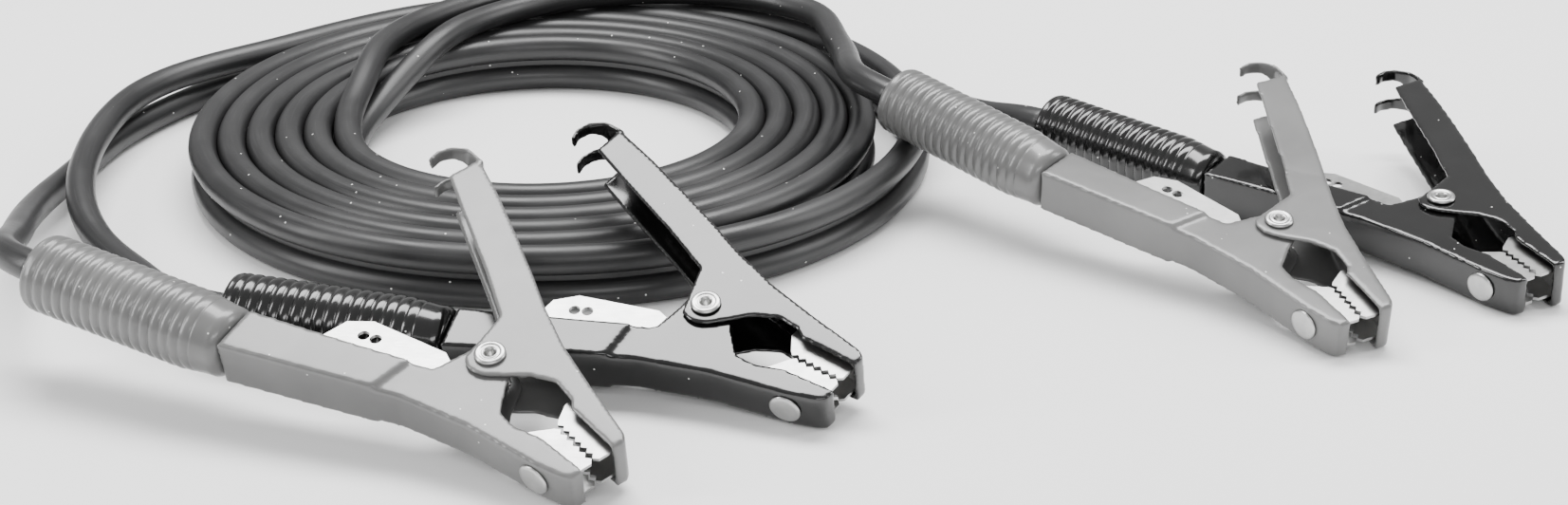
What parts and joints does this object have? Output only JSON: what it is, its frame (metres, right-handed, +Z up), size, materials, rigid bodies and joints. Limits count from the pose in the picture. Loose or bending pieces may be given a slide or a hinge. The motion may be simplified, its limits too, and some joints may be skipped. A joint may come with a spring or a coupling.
{
  "type": "battery jumper cable",
  "caption": "Coiled twin battery cable with a sprung, toothed clamp on each split end; each clamp has a ribbed boot and an upper handle that opens its jaw.",
  "frame": {"origin": "on the floor, under the centre of the box round the four clamps", "axes": "+Z up; +X from the left clamps towards the right clamps; +Y away from the viewer of the picture, towards the back of the coil"},
  "size_m": [0.5651, 0.4434, 0.0637],
  "materials": {
    "light_vinyl": "semi-gloss dipped vinyl",
    "black_vinyl": "glossy dipped vinyl",
    "bright_steel": "bright zinc plate",
    "cable_pvc": "satin black PVC"
  },
  "bodies": {
    "cable_and_lower_arms": {"cable_coil": "cable_pvc", "left_grey_lower_arm": "light_vinyl", "left_grey_boot": "light_vinyl", "left_grey_pivot_rivet": "bright_steel", "left_grey_lower_contact": "bright_steel", "left_grey_nose_rivet": "bright_steel", "left_grey_terminal_plate": "bright_steel", "left_grey_spring": "bright_steel", "left_grey_lead": "cable_pvc", "left_black_lower_arm": "black_vinyl", "left_black_boot": "black_vinyl", "left_black_pivot_rivet": "bright_steel", "left_black_lower_contact": "bright_steel", "left_black_nose_rivet": "bright_steel", "left_black_terminal_plate": "bright_steel", "left_black_spring": "bright_steel", "left_black_lead": "cable_pvc", "right_grey_lower_arm": "light_vinyl", "right_grey_boot": "light_vinyl", "right_grey_pivot_rivet": "bright_steel", "right_grey_lower_contact": "bright_steel", "right_grey_nose_rivet": "bright_steel", "right_grey_terminal_plate": "bright_steel", "right_grey_spring": "bright_steel", "right_grey_lead": "cable_pvc", "right_black_lower_arm": "black_vinyl", "right_black_boot": "black_vinyl", "right_black_pivot_rivet": "bright_steel", "right_black_lower_contact": "bright_steel", "right_black_nose_rivet": "bright_steel", "right_black_terminal_plate": "bright_steel", "right_black_spring": "bright_steel", "right_black_lead": "cable_pvc"},
    "left_grey_jaw": {"left_grey_upper_arm": "light_vinyl", "left_grey_upper_contact": "bright_steel"},
    "left_black_jaw": {"left_black_upper_arm": "black_vinyl", "left_black_upper_contact": "bright_steel"},
    "right_grey_jaw": {"right_grey_upper_arm": "light_vinyl", "right_grey_upper_contact": "bright_steel"},
    "right_black_jaw": {"right_black_upper_arm": "black_vinyl", "right_black_upper_contact": "bright_steel"}
  },
  "joints": [
    {"name": "left_grey_jaw_hinge", "type": "hinge", "parent": "cable_and_lower_arms", "child": "left_grey_jaw", "pos_m": [-0.1046, -0.0984, 0.0226], "axis": [-0.0362, -0.3283, 0.9439], "range_deg": [0, 28], "stiffness_Nm_per_rad": 4, "springref_deg": -34.38, "deforming": ["left_grey_spring"]},
    {"name": "left_black_jaw_hinge", "type": "hinge", "parent": "cable_and_lower_arms", "child": "left_black_jaw", "pos_m": [-0.038, -0.055, 0.01975], "axis": [-0.0701, -0.3534, 0.9328], "range_deg": [0, 28], "stiffness_Nm_per_rad": 4, "springref_deg": -34.38, "deforming": ["left_black_spring"]},
    {"name": "right_grey_jaw_hinge", "type": "hinge", "parent": "cable_and_lower_arms", "child": "right_grey_jaw", "pos_m": [0.163, 0.0115, 0.01997], "axis": [-0.0364, -0.2325, 0.9719], "range_deg": [0, 28], "stiffness_Nm_per_rad": 4, "springref_deg": -34.38, "deforming": ["right_grey_spring"]},
    {"name": "right_black_jaw_hinge", "type": "hinge", "parent": "cable_and_lower_arms", "child": "right_black_jaw", "pos_m": [0.2301, 0.0454, 0.01364], "axis": [-0.0752, -0.1291, 0.9888], "range_deg": [0, 28], "stiffness_Nm_per_rad": 4, "springref_deg": -34.38, "deforming": ["right_black_spring"]}
  ]
}
